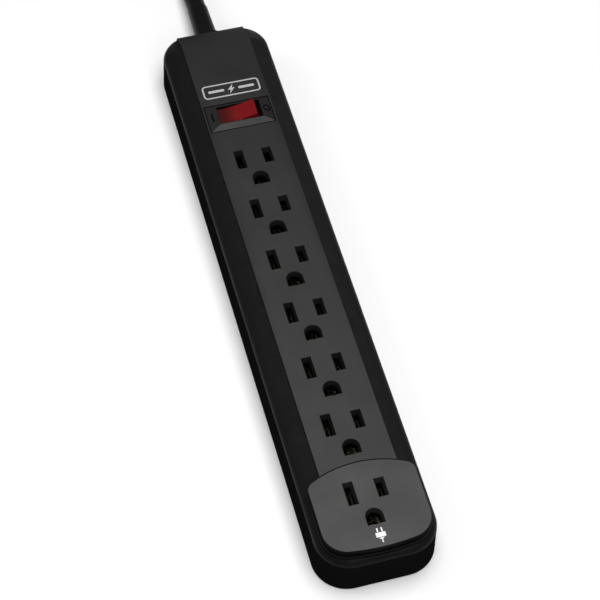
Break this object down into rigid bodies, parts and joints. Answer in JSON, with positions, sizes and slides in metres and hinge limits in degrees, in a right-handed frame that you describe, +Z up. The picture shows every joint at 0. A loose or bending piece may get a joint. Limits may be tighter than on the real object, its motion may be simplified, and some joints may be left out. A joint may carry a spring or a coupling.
{
  "type": "power strip",
  "caption": "Slim black power strip with a row of three-pin outlets, a lit red rocker switch, a wide adapter outlet at one end and a tied mains lead with its plug.",
  "frame": {"origin": "middle of the strip's underside, at the table", "axes": "+Z up out of the outlet face, +Y along the strip to the end that the mains lead leaves, +X across the strip to the side of the outlets' hot slots"},
  "size_m": [0.081, 0.5599, 0.042],
  "materials": {
    "housing_black": "fine moulded grain",
    "panel_grey": "smooth satin",
    "pad_grey": "smooth satin",
    "cover_black": "fine moulded grain",
    "steel_screw": "zinc plated",
    "bezel_black": "smooth satin",
    "rocker_red": "clear tinted",
    "switch_black": "moulded",
    "contact_copper": "stamped",
    "brass": "stamped",
    "white_nylon": "moulded",
    "spring_steel": "drawn wire",
    "neon_glass": "clear",
    "resistor_body": "lacquered",
    "carrier_cream": "moulded",
    "board_green": "laminate",
    "varistor_blue": "dipped epoxy",
    "fuse_tan": "lacquered",
    "crimp_tin": "tin plated",
    "wire_black": "smooth",
    "wire_white": "smooth",
    "wire_green": "smooth",
    "cord_black": "satin",
    "tie_black": "coated wire",
    "plug_black": "moulded, satin"
  },
  "bodies": {
    "strip": {"top_housing": "housing_black", "outlet_panel": "panel_grey", "adapter_pad": "pad_grey", "bottom_cover": "cover_black", "housing_screws": "steel_screw", "switch_bezel": "bezel_black", "switch_body": "switch_black", "switch_terminals": "brass", "bus_carrier": "carrier_cream", "line_bus": "brass", "neutral_bus": "brass", "ground_bus": "brass", "line_contacts": "brass", "neutral_contacts": "brass", "ground_contacts": "brass", "surge_board": "board_green", "varistors": "varistor_blue", "thermal_fuse": "fuse_tan", "spade_connectors": "crimp_tin", "line_lead": "wire_black", "neutral_lead": "wire_white", "ground_lead": "wire_green", "switched_lead": "wire_black", "cord_clamp": "carrier_cream", "clamp_screws": "steel_screw", "strain_relief": "cord_black", "power_cord": "cord_black", "cord_hank": "cord_black", "hank_tie": "tie_black", "cord_tail": "cord_black", "plug_strain_relief": "plug_black", "plug_body": "plug_black", "plug_blades": "brass", "plug_ground_pin": "brass"},
    "rocker": {"switch_rocker": "rocker_red", "rocker_plunger": "white_nylon", "plunger_spring": "spring_steel", "neon_lamp": "neon_glass", "lamp_resistor": "resistor_body"},
    "bridge": {"contact_bridge": "contact_copper"}
  },
  "joints": [
    {"name": "rocker_tilt", "type": "hinge", "parent": "strip", "child": "rocker", "pos_m": [0, 0.0852, 0.0219], "axis": [0, 1, 0], "range_deg": [0, 22]},
    {"name": "bridge_tilt", "type": "hinge", "parent": "strip", "child": "bridge", "pos_m": [0, 0.0852, 0.0142], "axis": [0, 1, 0], "range_deg": [-16, 0]}
  ],
  "couplings": [
    {"joint": "bridge_tilt", "follows": "rocker_tilt", "ratio": -0.7272}
  ]
}
